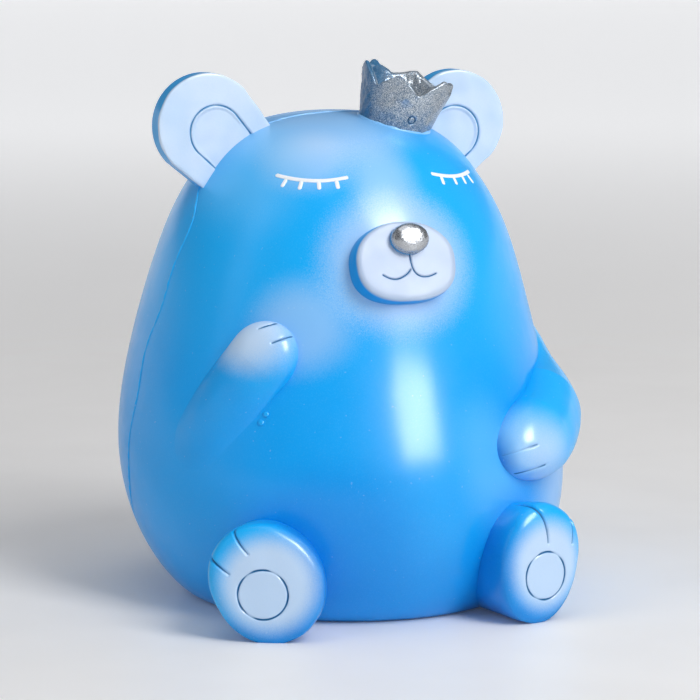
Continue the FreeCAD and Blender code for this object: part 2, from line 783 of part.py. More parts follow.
os.makedirs("parts", exist_ok=True)
whole = FreeCAD.BoundBox()
for node, item in NODES.items():
    item.Shape.exportStep(f"parts/{node}.step")
    whole.add(item.Shape.optimalBoundingBox(False))
    print(f"{node}: {item.Shape.Volume:.0f} mm3")
print("box", whole)
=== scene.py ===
import math

import bmesh
import bpy
import numpy as np
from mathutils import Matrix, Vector


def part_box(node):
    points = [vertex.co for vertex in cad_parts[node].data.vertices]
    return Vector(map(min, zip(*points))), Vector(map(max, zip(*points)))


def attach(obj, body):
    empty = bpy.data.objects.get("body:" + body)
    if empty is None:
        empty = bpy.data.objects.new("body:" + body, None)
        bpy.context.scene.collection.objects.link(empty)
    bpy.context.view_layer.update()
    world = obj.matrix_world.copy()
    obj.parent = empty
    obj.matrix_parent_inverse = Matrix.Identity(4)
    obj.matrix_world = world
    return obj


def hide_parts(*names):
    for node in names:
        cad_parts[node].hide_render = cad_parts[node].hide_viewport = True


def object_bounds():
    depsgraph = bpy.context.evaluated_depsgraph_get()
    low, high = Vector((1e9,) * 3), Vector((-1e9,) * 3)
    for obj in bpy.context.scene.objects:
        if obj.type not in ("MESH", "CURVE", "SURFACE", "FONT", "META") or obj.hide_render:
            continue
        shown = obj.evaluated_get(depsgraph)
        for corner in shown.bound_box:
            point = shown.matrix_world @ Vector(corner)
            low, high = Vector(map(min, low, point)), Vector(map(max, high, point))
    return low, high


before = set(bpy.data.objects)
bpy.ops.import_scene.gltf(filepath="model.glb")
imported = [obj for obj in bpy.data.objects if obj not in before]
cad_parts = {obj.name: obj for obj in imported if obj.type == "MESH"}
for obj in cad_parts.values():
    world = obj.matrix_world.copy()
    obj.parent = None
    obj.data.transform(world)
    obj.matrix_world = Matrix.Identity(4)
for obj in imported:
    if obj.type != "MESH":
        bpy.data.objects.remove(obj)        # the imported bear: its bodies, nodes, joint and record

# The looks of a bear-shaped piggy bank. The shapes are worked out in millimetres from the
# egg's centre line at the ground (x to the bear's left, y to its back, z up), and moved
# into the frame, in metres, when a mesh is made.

cad_low, cad_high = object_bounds()

MM = 0.001
HOLE_Y = -10.0  # the stopper's hole, from the egg's centre line
plug_low, plug_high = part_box("base_plug")
plug_middle = (plug_low + plug_high) / 2 / MM
STAND = np.array([plug_middle.x, plug_middle.y - HOLE_Y, 0.0])

# The egg's outline from the ground to the top, as control points of a smooth curve: the
# radius of the level section, its height, and how far its middle lies behind the centre line.
EGG_GUIDE = (
    (47.0, 0.0, -0.6),
    (51.2, 0.0, -0.6),
    (63.6, 13.1, 1.9),
    (70.7, 42.3, 7.8),
    (63.6, 72.9, 15.1),
    (54.7, 106.6, 12.0),
    (45.4, 126.9, 12.8),
    (28.4, 145.9, 13.8),
    (0.0, 145.9, 13.8),
)
WALL = 2.4  # how thick the shells are
BASE = 3.0  # how thick the flat bottom is
PARTING_Y = 14.0  # how far behind the centre line the shells part at the ground
PARTING_SLOPE = math.tan(math.radians(5.1))  # how far that moves forward per millimetre up
# The stopper's hole has a collar round it inside, and a recess round it underneath.
HOLE_RADIUS = 18.0
COLLAR_RADIUS = 22.5
COLLAR_TOP = 7.0
RECESS_RADIUS = 21.0
RECESS_DEPTH = 1.6


# ---- curves and fields


def smooth_curve(guide, samples):
    """Points along a cubic B-spline that starts and ends on its first and last guide points."""
    guide = np.array(guide, float)
    spans = len(guide) - 3
    knots = np.concatenate([np.zeros(3), np.arange(spans + 1), np.full(3, spans)])
    where = np.linspace(0, spans, samples)
    share = np.array([(where >= low) & (where < high) for low, high in zip(knots, knots[1:])], float)
    share[len(guide) - 1, -1] = 1.0
    for degree in range(1, 4):
        wider = []
        for i in range(len(share) - 1):
            left, right = knots[i + degree] - knots[i], knots[i + degree + 1] - knots[i + 1]
            rise = (where - knots[i]) / left * share[i] if left else 0.0 * where
            fall = (knots[i + degree + 1] - where) / right * share[i + 1] if right else 0.0 * where
            wider.append(rise + fall)
        share = np.array(wider)
    return share.T @ guide


OUTLINE = smooth_curve(EGG_GUIDE, 4001)
EGG_TOP = OUTLINE[-1, 1]


def section(height):
    """Radius and middle of the egg's level section, and how both change with height."""
    radius, level, drift = OUTLINE.T
    slope = np.gradient(np.stack([radius, drift]), axis=1) / np.maximum(np.gradient(level), 1e-5)
    return [np.interp(height, level, row) for row in (radius, drift, slope[0], slope[1])]


def on_egg(angle, height):
    """A place on the egg and its outward direction; 0 degrees is the front, 90 the bear's left."""
    radius, drift, widening, leaning = section(height)
    turn = np.radians(angle)
    place = np.stack([radius * np.sin(turn), drift - radius * np.cos(turn), height + 0 * turn], -1)
    out = np.stack([np.sin(turn), -np.cos(turn), leaning * np.cos(turn) - widening], -1)
    return place, out / np.linalg.norm(out, axis=-1, keepdims=True)


def outside_egg(place):
    """How far a point lies outside the egg, measured level; negative inside."""
    radius, drift = section(place[..., 2])[:2]
    return np.hypot(place[..., 0], place[..., 1] - drift) - radius


def dropped_on_egg(place):
    """The place on the egg, and its outward direction, level with a nearby point."""
    drift = section(place[..., 2])[1]
    angle = np.degrees(np.arctan2(place[..., 0], drift - place[..., 1]))
    return on_egg(angle, place[..., 2])


def lengths(path):
    """How far along a path each of its points is."""
    steps = np.linalg.norm(np.diff(path, axis=0), axis=1)
    return np.concatenate([[0], np.cumsum(steps)])


def read_off(where, length, path):
    """Places at some lengths along a path, given the lengths at its own points."""
    return np.stack([np.interp(where, length, column) for column in path.T], 1)


def distance_to_path(points, path):
    """How far each point is from a path of straight stretches, and how far along it is nearest."""
    nearest = np.full(len(points), 1e9)
    along = np.zeros(len(points))
    path = np.array(path, float)
    for i, (start, end) in enumerate(zip(path, path[1:])):
        run = end - start
        share = np.clip((points - start) @ run / max(run @ run, 1e-12), 0, 1)
        gap = np.linalg.norm(points - start - share[:, None] * run, axis=1)
        closer = gap < nearest
        nearest[closer] = gap[closer]
        along[closer] = (i + share[closer]) / (len(path) - 1)
    return nearest, along


def ripple(points, wavelength, seed, waves=24):
    """A smooth uneven field from about -1 to 1, the same on every run."""
    draw = np.random.default_rng(seed)
    directions = draw.normal(size=(waves, 3))
    directions *= 2 * math.pi / wavelength / np.linalg.norm(directions, axis=1, keepdims=True)
    phases = draw.uniform(0, 2 * math.pi, waves)
    field = np.zeros(len(points))
    for direction, phase in zip(directions, phases):
        field += np.sin(points @ direction + phase)
    return field / math.sqrt(waves)


def step(value, start, end):
    """Smooth rise from 0 at start to 1 at end."""
    share = np.clip((value - start) / (end - start), 0, 1)
    return share * share * (3 - 2 * share)


# ---- meshes


def grid_faces(rows, columns, first=0):
    """Quads between rows of points that close round on themselves."""
    faces = []
    for row in range(rows - 1):
        start = first + row * columns
        for column in range(columns):
            beside = (column + 1) % columns
            faces.append((start + column, start + beside,
                          start + columns + beside, start + columns + column))
    return faces


def fan(pole, start, columns):
    """Triangles between one point and a ring of points."""
    ring = list(range(start, start + columns))
    return [(a, b, pole) for a, b in zip(ring, ring[1:] + ring[:1])]


def in_scene(name, data):
    """A new object in the scene."""
    made = bpy.data.objects.new(name, data)
    bpy.context.scene.collection.objects.link(made)
    return made


def mesh_object(name, points, faces, outward=True):
    """An object with a mesh from points in the bear's millimetres."""
    mesh = bpy.data.meshes.new(name)
    mesh.from_pydata(((points + STAND) * MM).tolist(), [], faces)
    if outward:
        work = bmesh.new()
        work.from_mesh(mesh)
        bmesh.ops.recalc_face_normals(work, faces=work.faces)
        work.to_mesh(mesh)
        work.free()
    mesh.shade_smooth()
    return in_scene(name, mesh)


def flat_ended(name, rings):
    """A closed mesh from rows of points round it, with flat ends."""
    rows, around = rings.shape[:2]
    ends = [tuple(range(around)), tuple(range((rows - 1) * around, rows * around))]
    return mesh_object(name, rings.reshape(-1, 3), grid_faces(rows, around) + ends)


def round_ended(name, points, around):
    """A closed mesh from rows of points round it, followed by the point at each end."""
    count = len(points) - 2
    faces = grid_faces(count // around, around)
    faces += fan(count, 0, around) + fan(count + 1, count - around, around)
    return mesh_object(name, points, faces)


def read_points(made, field):
    """The place ("co", in metres) or outward direction ("normal") of every point of a mesh."""
    flat = np.zeros(len(made.data.vertices) * 3, np.float32)
    made.data.vertices.foreach_get(field, flat)
    return flat.reshape(-1, 3).astype(float)


def store_lines(made, lines):
    """Keep how deep in an engraved line every point of a mesh lies; its material darkens the line as
    painted shade.
    """
    kept = made.data.attributes.new("line", "FLOAT", "POINT")
    kept.data.foreach_set("value", np.clip(lines, 0, 1).astype(np.float32))


def move_points(made, points):
    """Put a mesh's points at new places, in the bear's millimetres."""
    made.data.vertices.foreach_set("co", ((points + STAND) * MM).astype(np.float32).ravel())
    made.data.update()


def finished(made, material, nodes=()):
    """Give a piece its material, tie it to the bank, and hide the nodes it stands for."""
    made.data.materials.clear()
    made.data.materials.append(material)
    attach(made, "bank")
    if nodes:
        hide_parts(*nodes)
    return made


def combined(base, tool, operation):
    """Apply a boolean to a mesh object; the tool is used up."""
    modifier = base.modifiers.new("cut", "BOOLEAN")
    modifier.object = tool
    modifier.operation = operation
    modifier.solver = "MANIFOLD"
    base.data = bpy.data.meshes.new_from_object(
        base.evaluated_get(bpy.context.evaluated_depsgraph_get()))
    base.modifiers.clear()
    bpy.data.objects.remove(tool)


def hole_tool(name, radius, low, high):
    """An upright round tool on the middle of the stopper's hole."""
    turns = np.linspace(0, 2 * math.pi, 180, endpoint=False)
    rings = [[(radius * math.cos(turn), HOLE_Y + radius * math.sin(turn), level) for turn in turns]
             for level in (low, high)]
    return flat_ended(name, np.array(rings))


# ---- the two shells


def inner_outline():
    """The egg's outline moved in by the wall, and cut off at the inside of the base."""
    side = OUTLINE[OUTLINE[:, 1] > 1e-6]
    steps = np.gradient(side[:, :2], axis=0)
    out = np.stack([steps[:, 1], -steps[:, 0]], 1)
    out /= np.linalg.norm(out, axis=1, keepdims=True)
    side[:, :2] -= WALL * out
    side = side[(side[:, 1] > BASE) & (side[:, 0] > 0)]
    side[0, 1] = BASE
    return side


def egg_shell():
    """The hollow egg: an outer surface, an inner one, and a thicker flat base with its hole."""
    rows, columns = 299, 420
    turns = np.linspace(0, 2 * math.pi, columns, endpoint=False)
    points, faces = [], []
    for outline, outer in ((OUTLINE, True), (inner_outline(), False)):
        length = lengths(outline)
        rings = read_off(np.linspace(0, length[-1], rows + 1)[:-1], length, outline)
        radius, level, drift = rings.T[:, :, None]
        ring = np.stack([radius * np.sin(turns), drift - radius * np.cos(turns),
                         level + 0 * turns], -1)
        first = sum(len(block) for block in points)
        pole = first + rows * columns
        points += [ring.reshape(-1, 3), np.array([[0.0, outline[-1, 2], outline[-1, 1]]])]
        block = grid_faces(rows, columns, first)
        block += fan(pole, pole - columns, columns)
        block.append(tuple(range(first + columns - 1, first - 1, -1)))
        faces += block if outer else [face[::-1] for face in block]
    shell = mesh_object("shell", np.concatenate(points), faces, outward=False)
    under, within_base, above = -1.0, 1.0, 9.0
    combined(shell, hole_tool("collar", COLLAR_RADIUS, within_base, COLLAR_TOP), "UNION")
    combined(shell, hole_tool("hole", HOLE_RADIUS, under, above), "DIFFERENCE")
    combined(shell, hole_tool("recess", RECESS_RADIUS, under, RECESS_DEPTH), "DIFFERENCE")
    combined(shell, slot_tool(), "DIFFERENCE")
    return shell


def slot_tool():
    """The coin slot, a level bar with rounded edges that reaches in through the back."""
    half_width, half_height, corner, middle = 19.0, 2.5, 1.2, 108.0
    inside, outside = 30.0, 100.0
    outline = []
    for quarter, (side_x, side_z) in enumerate(((1, 1), (-1, 1), (-1, -1), (1, -1))):
        for turn in np.radians(np.linspace(90 * quarter, 90 * quarter + 90, 9)):
            outline.append((side_x * (half_width - corner) + corner * math.cos(turn),
                            middle + side_z * (half_height - corner) + corner * math.sin(turn)))
    return flat_ended("slot", np.array([[(x, y, z) for x, z in outline] for y in (inside, outside)]))


def parting(x, z):
    """How far back the shells part. The line was cut by hand, so it wanders a little."""
    wander = 1.3 * np.sin(z / 9.0 + 0.6 * np.sign(x)) + 0.8 * np.sin(z / 4.1 + 2.0)
    behind_ears = 7.5 * step(z, 112, 134)
    return PARTING_Y - PARTING_SLOPE * z + wander * step(np.abs(x), 10, 40) + behind_ears


def parting_block(half_gap):
    """Everything in front of the parting line, less half of the gap between the shells.

    The gap is open low down, and all but closed where filler covers the joint."""
    wide, deep, low, high = 90.0, -150.0, -10.0, 170.0
    across, levels = np.linspace(-wide, wide, 61), np.linspace(low, high, 241)
    x, z = np.meshgrid(across, levels)
    opened = half_gap * (0.15 + 0.85 * step(z, 34, 18))
    back = np.stack([x, parting(x, z) - opened, z], -1)
    front = np.stack([x, np.full_like(x, deep), z], -1)
    return flat_ended("parting", np.concatenate([back, front[:, ::-1]], axis=1))


def shells(material):
    """The front and back shells, which meet along the wandering parting line."""
    half_gap, crease = 0.16, math.radians(40)
    front = egg_shell()
    back = in_scene("back_shell_skin", front.data.copy())
    combined(front, parting_block(half_gap), "INTERSECT")
    combined(back, parting_block(-half_gap), "DIFFERENCE")
    for made, name in ((front, "front_shell"), (back, "back_shell")):
        made.name = name + "_skin"
        made.data.shade_smooth()
        made.data.set_sharp_from_angle(angle=crease)
        finished(made, material, nodes=[name])


def tube(name, middles, outs, half_width, height, depth):
    """A low closed bead along a path: a round back outward, and a shallow underside."""
    around = 14
    along = np.gradient(middles, axis=0)
    along /= np.linalg.norm(along, axis=1, keepdims=True)
    sides = np.cross(outs, along)
    turns = np.linspace(0, 2 * math.pi, around, endpoint=False)
    lift = np.where(np.sin(turns) > 0, height[:, None] * np.sin(turns), depth * np.sin(turns))
    spread = half_width[:, None] * np.cos(turns)
    return flat_ended(name, middles[:, None] + sides[:, None] * spread[..., None]
                      + outs[:, None] * lift[..., None])


def leaving_egg(place_at, count, reach):
    """Where paths that start inside the egg come out of it, found by halving.

    place_at gives the places at a distance along every path."""
    low, high = np.zeros(count), np.full(count, reach)
    for _ in range(40):
        middle = (low + high) / 2
        place = place_at(middle)
        inside = (outside_egg(place) < 0) & (place[:, 2] < EGG_TOP)
        low, high = np.where(inside, middle, low), np.where(inside, high, middle)
    return place


def seam_bead(material):
    """The raised line of filler along the joint, from one side over the head to the other."""
    samples, hub, reach, end = 1200, 70.0, 110.0, 127.0
    turns = np.radians(np.linspace(-end, end, samples))

    def place_at(far):
        x, z = far * np.sin(turns), hub + far * np.cos(turns)
        return np.stack([x, parting(x, z), z], -1)

    place = leaving_egg(place_at, samples, reach)
    place[:, 2] = np.minimum(place[:, 2], EGG_TOP - 0.05)
    out = dropped_on_egg(place)[1]
    fade = step(place[:, 2], 22, 34)
    half_width = (0.48 + 0.10 * ripple(place, 5.0, 3)) * (0.1 + 0.9 * fade)
    height = (0.26 + 0.08 * ripple(place, 3.0, 4)) * (0.05 + 0.95 * fade)
    finished(tube("seam_bead", place, out, half_width, height, 0.5), material)


# ---- round pieces


def puck(name, middle, across, up, reach, profile, carve, rings, spokes, ground=None):
    """A closed piece round a middle: rings from its face, round its edge and across its back.

    reach is the outline's radius at each turn, and profile the rings' share of it and depth.
    carve gives how far each point is lifted, and how deep in an engraved line it lies. A piece
    that stands on the ground keeps its full reach downward between its face and its back."""
    across, up = np.array(across, float), np.array(up, float)
    out = np.cross(across, up)
    turns = np.linspace(0, 2 * math.pi, spokes, endpoint=False)
    share, depth = smooth_curve(profile, rings).T
    share, depth = share[1:-1, None], depth[1:-1, None]
    sideways = share * reach(turns) * np.cos(turns)
    upward = share * reach(turns) * np.sin(turns)
    if ground is not None:
        front, back = -1, -32
        upward = np.where((upward < 0) & (depth < front) & (depth > back), upward / share, upward)
    flat = np.stack([sideways, upward, depth + 0 * sideways], -1).reshape(-1, 3)
    ends = np.array([(0, 0, profile[0][1]), (0, 0, profile[-1][1])], float)
    local = np.concatenate([flat, ends])
    points = np.array(middle, float) + local[:, :1] * across + local[:, 1:2] * up + local[:, 2:] * out
    made = round_ended(name, points, spokes)
    lift, lines = carve(local)
    points = points + read_points(made, "normal") * lift[:, None]
    store_lines(made, lines)
    if ground is not None:
        points[:, 2] = np.maximum(points[:, 2], ground)
    move_points(made, points)
    return made


def in_line(points, path, half_width, fade=0.0):
    """How deep each point lies in an engraved line, from 0 to 1; fade weakens its far end."""
    gap, along = distance_to_path(points, path)
    solid = np.pad(points, ((0, 0), (0, 3 - points.shape[1])))
    pressed = np.clip(0.96 + 0.10 * ripple(solid, 6.0, 5), 0.6, 1)
    return pressed * (1.0 - fade * along) * np.exp(-(gap / half_width) ** 2)


# ---- ears

EAR_LEAN = math.radians(44)


def ear_reach(turns):
    """A round top on two straight sides that draw in towards the buried root."""
    radius, root, length, roundness = 15.8, 12.5, 26.0, 8
    across, up = np.cos(turns), np.sin(turns)
    narrowing = (radius - root) / length
    side = radius / (np.abs(across) + narrowing * np.maximum(-up, 0) + 1e-9)
    bottom = length / np.maximum(-up, 1e-9)
    straight_sided = (side ** -roundness + bottom ** -roundness) ** (-1 / roundness)
    return np.where(up >= 0, radius, straight_sided)


def ear_carving(middle):
    """The engraved arch inside an ear, and the hollow patch that it surrounds."""
    spring, root, hollow, half_width, depth = -3.2, -18.0, 8.0, 0.36, 0.55
    turns = np.linspace(0, math.pi, 25)
    arch = [(middle + 8.2 * math.cos(turn), spring + 8.4 * math.sin(turn)) for turn in turns]
    path = [(middle + 6.9, root)] + arch + [(middle - 7.1, root)]

    def carve(local):
        flat = local[:, :2]
        on_face = step(local[:, 2], -2.5, -1.2)
        line = in_line(flat, path, half_width) * on_face
        inside = hollow - np.hypot(flat[:, 0] - middle, np.maximum(flat[:, 1] - spring, 0))
        dents = 0.06 * ripple(local, 7.0, 11) - depth * step(inside, 0, 1.2)
        return dents * on_face - depth * line, 0.8 * line

    return carve


def ears(material):
    """Both ears: flat fronts with softened rims, rounder backs."""
    profile = (
        (0, 0), (0.14, 0), (0.28, 0), (0.42, 0), (0.56, 0), (0.72, 0.05), (0.9, 0.1),
        (0.975, 0.1), (1.0, -0.15), (1.0, -0.8), (1.0, -3.0), (1.01, -5.5), (1.0, -7.6),
        (0.9, -8.4), (0.5, -8.6), (0, -8.6),
    )
    for name, middle, side, arch in (("right_ear", (-43.0, 6.0, 142.5), -1, 0.3),
                                     ("left_ear", (38.0, 6.0, 142.0), 1, 1.7)):
        across = (math.cos(EAR_LEAN), 0, -side * math.sin(EAR_LEAN))
        up = (side * math.sin(EAR_LEAN), 0, math.cos(EAR_LEAN))
        made = puck(name + "_shape", middle, across, up, ear_reach, profile, ear_carving(arch),
                    rings=300, spokes=480)
        finished(made, material, nodes=[name])


# ---- muzzle and nose

MUZZLE = np.array([-0.8, -46.2, 105.6])  # the middle of the plate's face
MUZZLE_LEAN = math.radians(17)
MUZZLE_UP = np.array([0, math.sin(MUZZLE_LEAN), math.cos(MUZZLE_LEAN)])
MUZZLE_OUT = np.array([0, -math.cos(MUZZLE_LEAN), math.sin(MUZZLE_LEAN)])
# How far the middle of the nose's face lies from the plate's.
NOSE_UP = 6.4
NOSE_OUT = 4.4
NOSE_LEFT = 0.9


def muzzle_reach(turns):
    """A wide oval with fuller lower corners."""
    across, up = np.abs(np.cos(turns)), np.sin(turns)
    high = np.where(up > 0, 12.0, 11.6)
    power = np.where(up > 0, 2.15, 2.55)
    return ((across / 15.5) ** power + (np.abs(up) / high) ** power) ** (-1 / power)


def muzzle_carving(local):
    """The engraved mouth: a stem under the nose and two upturned curves."""
    flat = local[:, :2]
    stem = [(0.9, 3.0), (1.0, 1.2), (1.1, -1.8), (2.6, -4.6), (5.8, -5.1), (8.6, -3.9)]
    curve = [(0.7, -2.4), (0.1, -3.4), (-2.0, -4.9), (-5.4, -5.5), (-8.0, -3.7)]
    lines = [in_line(flat, smooth_curve(path, 30), 0.24) for path in (stem, curve)]
    on_face = step(local[:, 2], -2.0, -0.8)
    line = np.maximum(*lines) * on_face
    return 0.03 * ripple(local, 9.0, 12) * on_face - 0.4 * line, 0.9 * line


def muzzle(material):
    """The oval muzzle plate."""
    profile = (
        (0, 0), (0.12, 0), (0.24, 0), (0.36, 0), (0.48, 0), (0.60, 0), (0.74, 0), (0.87, 0),
        (0.97, -0.1), (1.0, -0.9), (1.015, -2.5), (1.02, -5), (1.0, -9), (0.9, -11),
        (0.4, -11.5), (0, -11.5),
    )
    made = puck("muzzle_shape", MUZZLE, (1, 0, 0), MUZZLE_UP, muzzle_reach, profile, muzzle_carving,
                rings=320, spokes=560)
    finished(made, material, nodes=["muzzle"])


def nose(material):
    """The silver nose, a bulging oval on a short straight wall."""
    middle = MUZZLE + NOSE_UP * MUZZLE_UP + NOSE_OUT * MUZZLE_OUT + np.array([NOSE_LEFT, 0, 0])
    half_width, half_height = 5.9, 4.6
    profile = (
        (0, 0), (0.45, 0.0), (0.8, -0.7), (0.97, -1.9), (1.0, -2.9), (1.0, -3.6), (0.97, -5.0),
        (0.5, -5.6), (0, -5.6),
    )

    def reach(turns):
        return 1 / np.hypot(np.cos(turns) / half_width, np.sin(turns) / half_height)

    def dents(local):
        return 0.02 * ripple(local, 2.0, 13) + 0.012 * ripple(local, 0.9, 14), np.zeros(len(local))

    made = puck("nose_shape", middle, (1, 0, 0), MUZZLE_UP, reach, profile, dents, rings=110, spokes=200)
    finished(made, material, nodes=["nose"])


# ---- feet


def foot(name, middle, turn, reach, ring, toes, material):
    """A plump foot: a domed sole with a ring and two toe lines, flat on the ground."""
    turn = math.radians(turn)
    across = (math.cos(turn), math.sin(turn), 0)
    profile = (
        (0, 0.7), (0.14, 0.7), (0.28, 0.7), (0.42, 0.65), (0.58, 0.55), (0.78, 0.4),
        (1.0, -0.9), (1.02, -4.5), (0.98, -10), (0.92, -18), (0.80, -27), (0.5, -34), (0, -34),
    )
    ring_x, ring_y, ring_radius = ring
    ring_half_width, toe_half_width, toe_fade = 0.34, 0.42, 0.45

    def carve(local):
        flat = local[:, :2]
        off = np.abs(np.hypot(flat[:, 0] - ring_x, flat[:, 1] - ring_y) - ring_radius)
        scratched = np.clip(0.82 + 0.28 * ripple(local, 6.0, 21), 0.3, 1)
        line = scratched * np.exp(-(off / ring_half_width) ** 2) * step(local[:, 2], -4, -2)
        lift = 0.08 * ripple(local, 9.0, 22) - 0.5 * line
        for toe in toes:
            cut = in_line(flat, smooth_curve(toe, 16), toe_half_width, toe_fade)
            cut = cut * step(local[:, 2], -14, -8)
            lift -= 1.0 * cut
            line = np.maximum(line, cut)
        return lift, line

    made = puck(name + "_shape", middle, across, (0, 0, 1), reach, profile, carve,
                rings=300, spokes=480, ground=0.0)
    finished(made, material, nodes=[name])


def right_foot_reach(turns):
    """A leaf that leans to the bear's right."""
    return 16.8 + 1.3 * np.cos(turns + math.radians(10)) + 1.0 * np.cos(2 * turns - math.radians(256))


def left_foot_reach(turns):
    """A leaf that leans to the bear's left and narrows below."""
    return 15.7 + 1.0 * np.cos(turns - math.radians(112)) + 1.9 * np.cos(2 * turns - math.radians(152))


def feet(right_material, left_material):
    """Both feet, turned a little outward in front of the belly."""
    foot("right_foot", (-51.9, -60.7, 17.0), -27, right_foot_reach, (0.6, -2.8, 7.2),
         (((-9.4, 18.5), (-8.4, 15.5), (-6.8, 12.4), (-3.7, 8.9)),
          ((-18.0, 9.2), (-15.0, 7.7), (-12.3, 5.2), (-9.1, 3.0))), right_material)
    foot("left_foot", (33.9, -67.4, 16.4), 12, left_foot_reach, (0.1, -2.3, 7.1),
         (((-5.5, 20.5), (-1.2, 17.8), (0.9, 12.5), (1.0, 7.4)),
          ((10.6, 17.0), (10.9, 13.0), (10.8, 9.5), (10.2, 6.2))), left_material)


# ---- arms


def arm_print(route, widths, cap, root, rows=320, columns=180):
    """Where an arm stands: a grid of places on the egg, their outward directions, how far along
    the arm each row is, and how near its edge each place is."""
    angle, height = smooth_curve(route, 600).T
    line = on_egg(angle, height)[0]
    length = lengths(line)
    share = 0.5 - 0.5 * np.cos(np.linspace(0, math.pi, rows))
    reached = share[1:-1] * length[-1]
    middle = read_off(reached, length, line)
    ahead = read_off(reached, length, np.gradient(line, length, axis=0))
    side = np.cross(dropped_on_egg(middle)[1], ahead)
    side /= np.linalg.norm(side, axis=1, keepdims=True)
    along = reached / length[-1]
    rounding = np.maximum(np.clip((reached - length[-1] + cap) / cap, 0, 1),
                          np.clip((root - reached) / root, 0, 1))[:, None]
    narrowing = np.sqrt(1 - rounding ** 2)
    half_width = np.interp(along, np.linspace(0, 1, len(widths)), widths)[:, None] * narrowing
    offset = np.sin(np.linspace(-math.pi / 2, math.pi / 2, columns))
    surface, outward = dropped_on_egg(middle[:, None] + side[:, None] * (half_width * offset)[..., None])
    edge = np.minimum(np.sqrt(rounding ** 2 + (offset * narrowing) ** 2), 1.0)
    return surface, outward, along, edge


def finger_path(ends):
    """Points along the line between two fingers, from its ends."""
    angle, height = np.array(ends).T
    start, end = on_egg(angle, height)[0]
    return smooth_curve([start, start * 0.67 + end * 0.33, start * 0.33 + end * 0.67, end], 12)


def arm(name, route, widths, lifts, sharpness, cap, root, fingers, material):
    """An arm raised from the egg's surface: a rounded paw on a limb that sinks into the body.

    route is the middle line, as degrees round the egg and heights, from the body to the paw,
    and widths, lifts and sharpness run along it. cap and root are how long its ends round off."""
    sink = 0.12
    surface, outward, along, edge = arm_print(route, widths, cap, root)
    flat = surface.reshape(-1, 3)
    stations = np.linspace(0, 1, len(widths))
    power = np.interp(along, stations, sharpness)[:, None]
    lift = np.interp(along, stations, lifts)[:, None] * (1 - edge ** 2.3) ** power
    line = np.zeros_like(lift)
    for finger in fingers:
        pressed = in_line(flat, finger_path(finger), 0.36, 0.3).reshape(lift.shape)
        cut = pressed * step(lift, 0.5, 2.0)
        lift = lift - 0.7 * cut
        line = np.maximum(line, cut)
    lift = lift + 0.06 * ripple(flat, 8.0, 31).reshape(lift.shape) * (1 - edge)
    top = surface + outward * (lift - sink)[..., None]
    under = surface - outward * (sink + 0.9 * np.sqrt(1 - edge ** 2))[..., None]
    tips, tips_out = on_egg(*np.array([route[0], route[-1]], float).T)
    ring = np.concatenate([top, under[:, -2:0:-1]], axis=1)
    points = np.concatenate([ring.reshape(-1, 3), tips - sink * tips_out])
    made = round_ended(name + "_shape", points, ring.shape[1])
    lines = np.concatenate([line, 0 * line[:, -2:0:-1]], axis=1)
    store_lines(made, np.append(lines.ravel(), (0, 0)))
    finished(made, material, nodes=[name])


def arms(right_material, left_material):
    """The raised right arm and the stouter left one, which hangs round to the belly."""
    arm("right_arm", ((-67, 43), (-62, 50), (-56, 58), (-49, 67.5), (-42, 76.5), (-34.7, 86.3)),
        (9.5, 10.6, 11.0, 10.7, 10.6), (0.2, 1.5, 3.6, 6.0, 7.2), (2.2, 1.6, 1.0, 0.62, 0.5),
        12.0, 14.0, (((-36.0, 88.3), (-41.5, 85.5)), ((-31.6, 84.7), (-37.2, 81.5))), right_material)
    arm("left_arm", ((76, 83), (75, 77), (69, 68), (57, 59.5), (42, 52.3), (31, 49), (21.5, 48.2)),
        (5.0, 9.5, 13.2, 12.4, 10.5), (0.1, 3.2, 9.3, 10.9, 9.2), (1.8, 1.0, 0.6, 0.5, 0.5),
        16.0, 12.0, (((17.3, 46.8), (28.0, 48.9)), ((23.0, 41.6), (31.0, 43.3))), left_material)


# ---- crown

CROWN_SEAT = np.array([12.5, -0.9, 139.0])  # the middle of the crown's bottom
CROWN_TIP = np.array([17.6, -2.9, 156.3])  # a place further up its axis
CROWN_AXIS = (CROWN_TIP - CROWN_SEAT) / np.linalg.norm(CROWN_TIP - CROWN_SEAT)
CROWN_TURN = math.radians(-33)  # where its first point faces, from the bear's front
CROWN_FACING = np.array([math.sin(CROWN_TURN), -math.cos(CROWN_TURN), 0])
CROWN_ACROSS = np.cross(CROWN_AXIS, CROWN_FACING)
CROWN_ACROSS /= np.linalg.norm(CROWN_ACROSS)
CROWN_FRONT = np.cross(CROWN_ACROSS, CROWN_AXIS)
# The rim's six points and the six notches that follow them, from the front round by the left.
POINT_HEIGHTS = (18.9, 20.8, 20.4, 20.2, 20.0, 19.7)
NOTCH_HEIGHTS = (13.9, 15.8, 17.6, 17.6, 15.8, 13.5)
CROWN_WALL = 1.8
CROWN_FLOOR = 10.0  # how high the floor inside the crown lies
RIM_EDGE = 0.45  # how far the rim's outer edge is rounded
RIM_DROP = 0.5  # how far the rim's inner edge lies below its top
FLOOR_EDGE = 1.6  # how far the inside draws in towards its floor
FLOOR_DIP = 0.2


def crown_outward(turn):
    """The direction away from the crown's axis; turn 0 is the point that faces forward."""
    return np.sin(turn)[..., None] * CROWN_ACROSS + np.cos(turn)[..., None] * CROWN_FRONT


def crown_place(turn, radius, height):
    """A place round the crown's axis."""
    return CROWN_SEAT + radius[..., None] * crown_outward(turn) + height[..., None] * CROWN_AXIS


def crown_radius(height):
    """The crown's outside flares from its base to its points."""
    return 10.1 + 4.2 * height / 18.5


